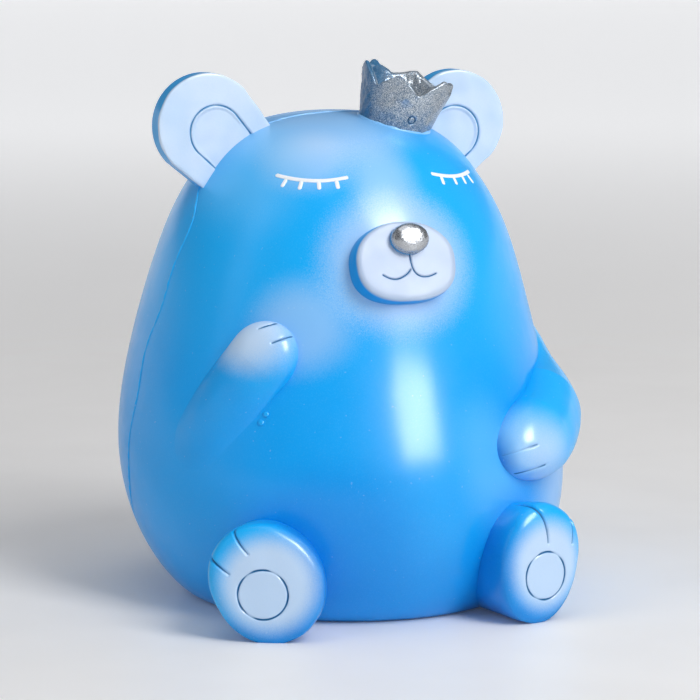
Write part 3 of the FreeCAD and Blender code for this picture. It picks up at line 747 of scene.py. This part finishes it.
def crown_rim(turn):
    """How high the rim is at each turn, with its corners a little rounded."""
    corners = np.array([height for pair in zip(POINT_HEIGHTS, NOTCH_HEIGHTS) for height in pair])
    corner = turn * len(corners) / (2 * math.pi)
    rim = np.interp(corner, np.arange(len(corners) + 1), np.append(corners, corners[0]))
    return sum(np.roll(rim, shift) for shift in range(-5, 6)) / 11


def crown_outline(rim):
    """Radius and height at each turn, ring by ring: up the outside, over the rim and down inside."""
    rings = []
    for share in np.linspace(0, 1, 70):
        height = share * (rim - RIM_EDGE)
        rings.append((crown_radius(height), height))
    edge = crown_radius(rim) - RIM_EDGE
    for bend in np.radians(np.linspace(15, 90, 6)):
        rings.append((edge + RIM_EDGE * math.cos(bend), rim - RIM_EDGE + RIM_EDGE * math.sin(bend)))
    rim_width = CROWN_WALL - 0.7
    for share in np.linspace(0.15, 1, 6):
        rings.append((edge - share * rim_width, rim - RIM_DROP * share ** 2))
    inner_rim = rim - RIM_DROP
    for share in np.linspace(0.03, 1, 44):
        height = inner_rim + share * (CROWN_FLOOR - inner_rim)
        rings.append((crown_radius(height) - CROWN_WALL - FLOOR_EDGE * share ** 6, height))
    inside = crown_radius(CROWN_FLOOR) - CROWN_WALL - FLOOR_EDGE
    for share in np.linspace(0.9, 0.1, 8):
        rings.append((inside * share + 0 * rim, CROWN_FLOOR - FLOOR_DIP + 0 * rim))
    return rings


def pressed_ring(points, out):
    """How deep each point of the crown lies in the small ring pressed into its front."""
    turn, height, radius, half_width = np.array([0.60]), np.array([6.6]), 1.15, 0.25
    mark = crown_place(turn, crown_radius(height), height)[0]
    off = np.abs(np.linalg.norm(points - mark, axis=1) - radius)
    return np.exp(-(off / half_width) ** 2) * step(out @ CROWN_FRONT, 0.2, 0.6)


def crown(material):
    """A thick-walled crown with six blunt points, worked by hand and not quite even."""
    columns = 600
    turn = np.linspace(0, 2 * math.pi, columns, endpoint=False)
    rings = [crown_place(turn, radius, height) for radius, height in crown_outline(crown_rim(turn))]
    ends = np.array([CROWN_SEAT, CROWN_SEAT + CROWN_AXIS * (CROWN_FLOOR - FLOOR_DIP)])
    points = np.concatenate(rings + [ends])
    made = round_ended("crown_shape", points, columns)
    out = read_points(made, "normal")
    ring = pressed_ring(points, out)
    lift = (0.12 * ripple(points, 6.0, 41) + 0.06 * ripple(points, 2.2, 42)
            + 0.02 * ripple(points, 1.0, 43) - 0.35 * ring)
    store_lines(made, ring)
    move_points(made, points + out * lift[:, None])
    finished(made, material, nodes=["crown"])


def crown_bead(material):
    """The bead of glue and paint where the crown meets the head."""
    end, reach = 2.2, 15.0
    turn = np.linspace(-end, end, 260)

    def place_at(height):
        return crown_place(turn, crown_radius(height), height)

    place = leaving_egg(place_at, len(turn), reach)
    across = crown_outward(turn)
    between = dropped_on_egg(place)[1] + across
    between /= np.linalg.norm(between, axis=1, keepdims=True)
    fade = 0.1 + 0.9 * step(end - np.abs(turn), 0, 0.5)
    uneven = ripple(place, 4.0, 51)
    bead = tube("crown_bead", place + 0.1 * across, between, (0.55 + 0.15 * uneven) * fade,
                (0.40 + 0.12 * uneven) * fade, 0.5)
    finished(bead, material)


# ---- eyes


def stroke(name, route, half_width, material):
    """One brush stroke of thick paint on the egg, with rounded ends."""
    angle, height = smooth_curve(route, 60).T
    middle, out = on_egg(angle, height)
    length = lengths(middle)
    to_end = np.minimum(length, length[-1] - length)
    rounded = np.sqrt(np.clip(1 - (1 - to_end / half_width) ** 2, 0.0025, 1) * (to_end < half_width)
                      + (to_end >= half_width))
    height, depth = 0.22, 0.25
    made = tube(name, middle, out, half_width * rounded, height * rounded, depth)
    return finished(made, material)


def straight(start, end):
    """Guide points of a straight stroke."""
    start, end = np.array(start, float), np.array(end, float)
    return [start + share * (end - start) for share in (0, 1 / 3, 2 / 3, 1)]


def eyes(material):
    """Closed eyelids with four lashes each."""
    lids = {
        "right": (((-46.2, 129.3), (-40, 128.4), (-31, 127.7), (-22.5, 128.0), (-16.5, 128.9)),
                  ((-41.0, 128.2, -42.3, 126.0), (-34.6, 127.8, -35.2, 125.4),
                   (-27.9, 127.7, -27.5, 125.5), (-21.0, 128.0, -20.3, 125.7))),
        "left": (((21.0, 129.1), (26, 128.2), (33, 127.6), (41, 127.6), (50.5, 128.3)),
                 ((25.9, 128.0, 25.2, 125.7), (33.4, 127.6, 33.0, 125.3),
                  (40.2, 127.4, 39.7, 125.1), (45.8, 127.5, 46.6, 124.9))),
    }
    for side, (lid, lashes) in lids.items():
        stroke(side + "_eyelid", lid, 0.62, material)
        for number, lash in enumerate(lashes, start=1):
            stroke(f"{side}_lash_{number}", straight(lash[:2], lash[2:]), 0.6, material)
    stroke("right_eye_dot", straight((-17.2, 128.8), (-16.2, 128.9)), 0.8, material)


def glue_drops(material):
    """Two drops of glue squeezed out under the right arm, painted over."""
    for number, (angle, height) in enumerate(((-39.3, 62.6), (-40.6, 60.2)), start=1):
        fall = straight((angle, height), (angle - 0.5, height - 1.0))
        drop = stroke(f"glue_drop_{number}", fall, 0.8, material)
        swollen = read_points(drop, "co") / MM - STAND + 0.3 * read_points(drop, "normal")
        move_points(drop, swollen)


# ---- materials


class Paint:
    """A material's node tree, with short calls that add to it."""

    def __init__(self, name):
        self.material = bpy.data.materials.new(name)
        self.material.use_nodes = True
        self.tree = self.material.node_tree
        self.shader = self.tree.nodes["Principled BSDF"]
        self.place = self.add("ShaderNodeTexCoord").outputs["Object"]

    def feed(self, socket, value):
        """Link another socket to this one, or set its value."""
        if isinstance(value, bpy.types.NodeSocket):
            self.tree.links.new(value, socket)
        elif value is not None:
            socket.default_value = value

    def add(self, kind, inputs=(), **settings):
        """A node; its inputs, in order, are linked sockets, numbers or None."""
        made = self.tree.nodes.new(kind)
        for name, value in settings.items():
            setattr(made, name, value)
        for socket, value in zip(made.inputs, inputs):
            self.feed(socket, value)
        return made

    def fill(self, node, **values):
        """Values for a node's sockets, whose names are written with underscores."""
        for name, value in values.items():
            self.feed(node.inputs[name.replace("_", " ").title().replace("Ior", "IOR")], value)
        return node

    def set(self, **values):
        """Values for the shader's sockets."""
        self.fill(self.shader, **values)

    def math(self, operation, *values):
        """One sum on numbers."""
        return self.add("ShaderNodeMath", values, operation=operation).outputs[0]

    def vector(self, operation, *values, output="Vector"):
        """One sum on vectors."""
        return self.add("ShaderNodeVectorMath", values, operation=operation).outputs[output]

    def noise(self, size, detail=2.0, rough=0.5):
        """A cloudy field from 0 to 1, with features about size millimetres across."""
        made = self.fill(self.add("ShaderNodeTexNoise"), vector=self.place, scale=1 / (size * MM),
                         detail=detail, roughness=rough)
        return made.outputs[0]

    def rise(self, value, start, end, low=0.0, high=1.0):
        """Smooth change from low to high as the value goes from start to end."""
        return self.add("ShaderNodeMapRange", (value, start, end, low, high),
                        interpolation_type="SMOOTHSTEP").outputs[0]

    def mix(self, share, first, second):
        """A colour between two. Inputs 0, 6 and 7 of the node are the share and the two colours."""
        made = self.add("ShaderNodeMix", data_type="RGBA")
        sockets = (made.inputs[0], made.inputs[6], made.inputs[7])
        for socket, value in zip(sockets, (share, first, second)):
            self.feed(socket, (*value, 1.0) if isinstance(value, tuple) else value)
        return made.outputs[2]

    def cloudy(self, size, first, second, detail=2.0):
        """A colour that drifts between two, in clouds about size millimetres across."""
        return self.mix(self.rise(self.noise(size, detail), 0.35, 0.65), first, second)

    def patch(self, middle, radii, soft, grain=None):
        """1 in the middle of a sprayed patch, falling to 0 past its edge, with a grainy rim."""
        middle = tuple((np.array(middle, float) + STAND) * MM)
        scale = tuple(1 / (radius * MM) for radius in radii)
        scaled = self.vector("MULTIPLY", self.vector("SUBTRACT", self.place, middle), scale)
        far = self.vector("LENGTH", scaled, output="Value")
        if grain is not None:
            far = self.math("ADD", far, grain)
        return self.rise(far, 1 - soft, 1 + soft, 1.0, 0.0)

    def lines(self, colour, groove_shade):
        """Painted shade in the engraved lines: the grooves are darkened in colour."""
        depth = self.add("ShaderNodeAttribute", attribute_name="line").outputs["Fac"]
        return self.mix(self.rise(depth, 0.25, 0.75), colour, groove_shade)

    def along(self, direction, origin, start, end):
        """0 below start and 1 past end, measured in millimetres along a direction."""
        direction = np.array(direction, float)
        base = (np.array(origin, float) + STAND) @ direction * MM
        far = self.vector("DOT_PRODUCT", self.place, tuple(direction), output="Value")
        return self.rise(far, base + start * MM, base + end * MM)

    def spray(self, colour, patches, grain):
        """Sprayed patches over a colour: each a paint, its strength, a place, radii and softness."""
        for paint, strength, middle, radii, soft in patches:
            share = self.math("MULTIPLY", self.patch(middle, radii, soft, grain), strength)
            colour = self.mix(share, colour, paint)
        return colour

    def bump(self, height, distance, strength=1.0):
        """Fine relief in the surface, distance in millimetres."""
        made = self.fill(self.add("ShaderNodeBump"), strength=strength, distance=distance * MM,
                         height=height)
        self.set(normal=made.outputs[0])


# Painted shade: a darker blue sprayed in where shade falls, in creases beside the feet and paws and
# under the feet.
PAINTED_SHADE_BLUE = (0.000, 0.20, 0.68)
BLUE = (0.000, 0.35, 0.88)
CYAN = (0.003, 0.43, 0.95)
SKY = (0.18, 0.56, 0.95)
PALE = (0.52, 0.69, 0.91)
ICE = (0.60, 0.74, 0.95)
# Painted shade for the engraved lines, darker than the lacquer round them.
GROOVE_SHADE = (0.004, 0.13, 0.33)


def spot(angle, height):
    """A place on the egg, for a sprayed patch."""
    return tuple(on_egg(np.array(float(angle)), np.array(float(height)))[0])


def lacquer(paint, colour, gloss=0.5, groove_shade=GROOVE_SHADE):
    """The satin lacquer over the sprayed colours: fine speckle, dust, painted shade in the engraved
    lines and a soft gloss.
    """
    speckle = paint.noise(0.45, 1.0)
    colour = paint.mix(paint.rise(speckle, 0.45, 0.75, 0.0, 0.05), colour, SKY)
    dust = paint.rise(paint.noise(0.9, 0.0), 0.82, 0.88, 0.0, 0.16)
    colour = paint.mix(dust, colour, ICE)
    colour = paint.lines(colour, groove_shade)
    fine, broad = paint.noise(0.5, 2.0), paint.noise(4.0, 1.0)
    relief = paint.math("ADD", paint.math("MULTIPLY", fine, 0.25), broad)
    paint.bump(relief, 0.05)
    paint.set(base_color=colour, roughness=paint.rise(paint.noise(9.0, 3.0), 0.3, 0.7, 0.34, 0.44),
              coat_weight=gloss, coat_roughness=0.2, specular_ior_level=0.15)
    return paint.material


def sprayed(name, base, patches, coarse=0.4):
    """Blue lacquer with sprayed patches."""
    paint = Paint(name)
    grain = paint.math("MULTIPLY", paint.math("SUBTRACT", paint.noise(0.35, 1.0), 0.5), coarse)
    lighter = tuple(0.82 * a + 0.18 * b for a, b in zip(base, CYAN))
    colour = paint.cloudy(38.0, base, lighter, 1.0)
    return lacquer(paint, paint.spray(colour, patches, grain))


def body_paint():
    """The egg: deep blue, with painted shade low on the belly beside the feet, pale round the muzzle and
    beside the paws, and pale over the brow and between the eyes that is partly sprayed and partly
    painted highlight.
    """
    return sprayed("body_blue", BLUE, (
        (CYAN, 0.75, (0, 0, 112), (90, 90, 34), 0.55),
        # Painted shade low on the belly, between and beside the feet.
        (PAINTED_SHADE_BLUE, 0.50, spot(-24, 24), (24, 18, 22), 0.5),
        (PAINTED_SHADE_BLUE, 0.35, spot(14, 10), (26, 20, 14), 0.6),
        (PALE, 0.62, MUZZLE, (23.0, 26, 20.0), 0.30),
        # Between the eyes: sprayed pale with a painted highlight of the lamp in front.
        (PALE, 0.40, spot(-2, 127), (9, 16, 18), 0.60),
        # Over the brow and the top of the head, the next three patches: sprayed pale with a painted
        # highlight of the light from above.
        (PALE, 0.45, spot(-34, 134), (13, 13, 9), 0.5),
        (PALE, 0.50, (-16, -8, 142), (26, 24, 9), 0.6),
        (SKY, 0.45, (-34, 0, 132), (14, 26, 22), 0.5),
        (PALE, 0.42, spot(-31, 87), (14, 12, 12), 0.55),
        (SKY, 0.35, spot(19, 47), (10, 12, 17), 0.6),
        (PALE, 0.40, spot(54, 34), (18, 18, 11), 0.5),
    ))


def right_arm_paint():
    """The right arm: blue, with a pale paw."""
    return sprayed("right_arm_blue", BLUE, (
        (CYAN, 0.6, spot(-35, 78), (14, 14, 14), 0.4),
        (PALE, 1.0, spot(-43.5, 83), (10.5, 12, 9.5), 0.5),
    ), 0.25)


def left_arm_paint():
    """The left arm: blue, with a pale forearm, and painted shade at the paw's edge by the belly."""
    return sprayed("left_arm_blue", CYAN, (
        (PALE, 0.85, spot(32, 49), (11.0, 14, 9.5), 0.5),
        # Painted shade where the paw meets the belly.
        (PAINTED_SHADE_BLUE, 0.9, spot(17, 44), (8.0, 10, 13), 0.45),
    ), 0.2)


def foot_paint(name, middle, radii, shade_side):
    """A foot: a pale sole, blue round its edge, with painted shade on the side towards the belly and low
    down at the ground.
    """
    return sprayed(name, CYAN, (
        # Painted shade: on the side that faces the belly, and low round the foot where it meets the
        # ground.
        (PAINTED_SHADE_BLUE, 0.85, tuple(np.array(middle) + shade_side), (15, 17, 22), 0.5),
        (PAINTED_SHADE_BLUE, 0.6, tuple(np.array(middle) + (0, 0, -17)), (26, 26, 7), 0.5),
        (PALE, 1.0, middle, radii, 0.30),
    ), 0.12)


def ear_paint():
    """The ears: pale blue in front, blue at the sides and back."""
    paint = Paint("pale_blue_ears")
    face = paint.along((0, -1, 0), (0, 6.0, 0), -1.6, -0.5)
    pale = paint.cloudy(16.0, (0.54, 0.70, 0.90), (0.62, 0.75, 0.92))
    # The last colour is the painted shade in the engraved arch.
    return lacquer(paint, paint.mix(face, (0.000, 0.32, 0.74), pale), 0.5, (0.03, 0.22, 0.46))


def muzzle_paint():
    """The muzzle: pale blue in front, blue round its side."""
    paint = Paint("pale_blue_muzzle")
    face = paint.along(MUZZLE_OUT, MUZZLE, -1.5, -0.5)
    pale = paint.cloudy(14.0, (0.40, 0.50, 0.68), (0.46, 0.56, 0.72))
    return lacquer(paint, paint.mix(face, (0.000, 0.30, 0.76), pale), 0.15)


def crown_paint():
    """Silver rubbed over blue, bare blue low on the bear's right."""
    paint = Paint("antique_silver")
    side = paint.along(-CROWN_ACROSS, CROWN_SEAT, 2.0, 13.0)
    low = paint.along(-CROWN_AXIS, CROWN_SEAT + 9 * CROWN_AXIS, -4.0, 7.0)
    bare = paint.math("ADD", paint.math("MULTIPLY", side, 0.60), paint.math("MULTIPLY", low, 0.24))
    mottle = paint.noise(0.3, 3.0, 0.6)
    cloud = paint.noise(3.0, 2.0)
    rubbed = paint.math("ADD", paint.math("MULTIPLY", mottle, 0.8), paint.math("MULTIPLY", cloud, 0.4))
    silver = paint.rise(paint.math("SUBTRACT", rubbed, bare), 0.05, 0.75)
    blue = paint.mix(paint.noise(1.5, 2.0), (0.003, 0.07, 0.17), (0.006, 0.16, 0.34))
    bright = paint.mix(paint.rise(mottle, 0.32, 0.72), (0.12, 0.16, 0.20), (0.72, 0.76, 0.80))
    # The last colour is the painted shade in the pressed ring.
    colour = paint.lines(paint.mix(silver, blue, bright), (0.01, 0.08, 0.18))
    paint.bump(mottle, 0.10, 0.8)
    paint.set(base_color=colour, metallic=paint.math("MULTIPLY", silver, 0.8),
              roughness=paint.rise(mottle, 0.3, 0.7, 0.42, 0.28), coat_weight=0.3, coat_roughness=0.15)
    return paint.material


def nose_paint():
    """Bright silver paint with a fine grain, blue on the short wall under it."""
    paint = Paint("bright_silver")
    face = paint.along(MUZZLE_OUT, MUZZLE, 1.3, 1.8)
    grain = paint.noise(0.35, 3.0, 0.7)
    silver = paint.mix(grain, (0.28, 0.30, 0.33), (0.62, 0.64, 0.67))
    paint.bump(grain, 0.035, 0.5)
    paint.set(base_color=paint.mix(face, (0.02, 0.25, 0.55), silver), metallic=face,
              roughness=paint.rise(grain, 0.3, 0.7, 0.24, 0.34))
    return paint.material


def eye_paint():
    """Thick white paint."""
    paint = Paint("white_paint")
    uneven = paint.noise(1.2, 2.0)
    paint.bump(uneven, 0.05)
    paint.set(base_color=paint.mix(uneven, (0.82, 0.86, 0.92), (0.94, 0.95, 0.97)),
              roughness=paint.rise(uneven, 0.3, 0.7, 0.3, 0.42))
    return paint.material


def bead_paint():
    """The filler bead under the same blue lacquer, paler over the top of the head and bluer low down."""
    return sprayed("bead_blue", CYAN, ((PALE, 0.45, (0, 0, 150), (60, 60, 26), 0.5),
                                      (BLUE, 0.60, (0, 0, 30), (90, 90, 60), 0.5)))


def stopper_paint():
    """Soft milky plastic, faintly mottled."""
    paint = Paint("stopper_plastic")
    cloud = paint.noise(6.0, 3.0)
    scuffs = paint.rise(paint.noise(0.8, 4.0, 0.7), 0.58, 0.72, 0.0, 0.25)
    colour = paint.mix(paint.rise(cloud, 0.35, 0.65), (0.74, 0.75, 0.74), (0.84, 0.84, 0.82))
    paint.bump(paint.noise(0.6, 3.0), 0.06)
    paint.set(base_color=paint.mix(scuffs, colour, (0.60, 0.61, 0.60)),
              roughness=paint.rise(cloud, 0.3, 0.7, 0.42, 0.55), subsurface_weight=0.15)
    return paint.material


# ---- floor, lights and camera


def table_paint():
    """A pale table that glows faintly, more so far away, to keep the horizon light."""
    paint = Paint("pale_table")
    cloud = paint.rise(paint.noise(60.0, 3.0), 0.3, 0.7)
    far = paint.vector("LENGTH", paint.place, output="Value")
    paint.set(base_color=paint.mix(cloud, (0.90, 0.885, 0.87), (0.93, 0.915, 0.90)),
              roughness=0.42, specular_ior_level=0.3, emission_color=(0.97, 0.98, 1.0, 1.0),
              emission_strength=paint.rise(far, 0.10, 2.2, 0.02, 0.54))
    return paint.material


def floor():
    """A wide table top that curves up far away, so its edge never shows; in metres."""
    rows, columns = 60, 96
    guide = ((0.01, 0), (3, 0), (6, 0), (9, 0), (11.0, 0.0), (12, 0.4), (12.3, 1.2), (12.4, 2.2))
    reach, rise = smooth_curve(guide, rows).T[:, :, None]
    turns = np.linspace(0, 2 * math.pi, columns, endpoint=False)
    rings = np.stack([reach * np.cos(turns), reach * np.sin(turns), rise + 0 * turns], -1)
    faces = [tuple(range(columns))] + grid_faces(rows, columns)
    mesh = bpy.data.meshes.new("floor")
    mesh.from_pydata(rings.reshape(-1, 3).tolist(), [], faces)
    mesh.shade_smooth()
    mesh.materials.append(table_paint())
    in_scene("floor", mesh)


def turn_to_bear(made, azimuth, elevation, distance, target):
    """Place a lamp or camera round the bear; azimuth 0 is in front of it, 90 on its left."""
    turn, climb = math.radians(azimuth), math.radians(elevation)
    back = Vector((math.sin(turn) * math.cos(climb), -math.cos(turn) * math.cos(climb),
                   math.sin(climb)))
    made.location = target + back * distance
    made.rotation_mode = "QUATERNION"
    made.rotation_quaternion = back.to_track_quat("Z", "Y")


def area_light(name, azimuth, elevation, distance, size, power, diffuse=True, glossy=True):
    """A soft box; without diffuse light it only glares, and without glossy it only fills."""
    light = bpy.data.lights.new(name, "AREA")
    light.shape = "RECTANGLE"
    light.size, light.size_y = size
    light.energy = power
    made = in_scene(name, light)
    turn_to_bear(made, azimuth, elevation, distance, Vector((0, 0, (cad_low.z + cad_high.z) / 2)))
    made.visible_diffuse = diffuse
    made.visible_glossy = glossy


def lights():
    """Boxes in front on the left and at the right, with their glares, a rim light and an overhead."""
    area_light("key", 23, 40, 1.3, (0.52, 0.92), 11.2)
    area_light("glare", 23, 34, 1.29, (0.42, 0.62), 15.0, diffuse=False)
    area_light("side", -80, 34, 1.3, (0.7, 1.0), 1.8, glossy=False)
    area_light("side_glare", -85, 30, 1.29, (0.35, 0.8), 0.7, diffuse=False)
    area_light("rim", 105, 25, 1.3, (0.6, 1.2), 1.6, glossy=False)
    area_light("overhead", 10, 86, 1.4, (1.1, 1.1), 4.2)
    world = bpy.data.worlds.new("studio")
    world.use_nodes = True
    background = world.node_tree.nodes["Background"]
    background.inputs["Color"].default_value = (0.93, 0.95, 1.0, 1.0)
    background.inputs["Strength"].default_value = 0.20
    bpy.context.scene.world = world
    bpy.context.scene.view_settings.view_transform = "Standard"


def camera():
    """A long lens a little above the bear, from its right."""
    data = bpy.data.cameras.new("camera")
    data.sensor_width = 36.0
    data.lens = 157.8
    data.clip_start, data.clip_end = 0.01, 100.0
    made = in_scene("camera", data)
    turn_to_bear(made, -22.0, 8.13, 0.9364, Vector((-0.0006, -0.0044, 0.0735)))
    bpy.context.scene.camera = made


# ---- the whole bear

camera()
lights()
floor()

shells(body_paint())
seam_bead(bead_paint())
ears(ear_paint())
crown(crown_paint())
crown_bead(bead_paint())
muzzle(muzzle_paint())
nose(nose_paint())
eyes(eye_paint())
glue_drops(bead_paint())
arms(right_arm_paint(), left_arm_paint())
feet(foot_paint("right_foot_blue", (-50.1, -61.8, 17.0), (13.2, 13.2, 13.2), (16, 6, 0)),
     foot_paint("left_foot_blue", (34.4, -67.2, 17.2), (11.5, 11.5, 12.5), (-19, 8, -2)))

plastic = stopper_paint()
for plug_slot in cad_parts["base_plug"].material_slots:
    plug_slot.material = plastic
